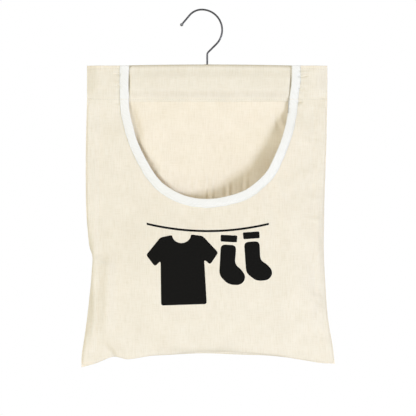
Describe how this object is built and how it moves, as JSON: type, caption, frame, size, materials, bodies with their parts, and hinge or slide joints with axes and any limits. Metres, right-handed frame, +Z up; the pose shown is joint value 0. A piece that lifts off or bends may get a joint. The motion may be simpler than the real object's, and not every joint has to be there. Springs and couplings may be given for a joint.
{
  "type": "peg bag",
  "caption": "Hanging cloth bag for clothes pegs: a calico pouch with a taped U-shaped mouth, on a wooden bar with a swivelling wire hook.",
  "frame": {"origin": "the point of the hook's inner side that bears on a clothes line, straight above the shank", "axes": "+Z up along the swivel axis, -Y out of the mouth of the bag, +X to the right as seen from the front"},
  "size_m": [0.316, 0.0331, 0.4463],
  "materials": {
    "calico": "matt unbleached plain weave",
    "white_tape": "matt white bias tape",
    "cream_thread": "cotton thread",
    "white_thread": "cotton thread",
    "hook_steel": "drawn wire with a grey plating",
    "hook_cap": "satin",
    "bar_wood": "sanded, unvarnished"
  },
  "bodies": {
    "hook": {"hook_wire": "hook_steel", "hook_end_ball": "hook_cap", "swivel_washer": "hook_steel"},
    "bag": {"hanger_bar": "bar_wood", "back_panel": "calico", "front_panel": "calico", "neck_binding": "white_tape", "casing_stitching_front": "cream_thread", "casing_stitching_back": "cream_thread", "binding_stitching_front": "white_thread", "binding_stitching_back": "white_thread", "left_side_seam": "calico", "right_side_seam": "calico", "bottom_seam": "calico", "left_strap_stitching": "cream_thread", "right_strap_stitching": "cream_thread", "hook_slit_stitching": "cream_thread"}
  },
  "joints": [
    {"name": "hook_swivel", "type": "hinge", "parent": "hook", "child": "bag", "pos_m": [0, 0, -0.08], "axis": [0, 0, 1], "continuous": true}
  ]
}
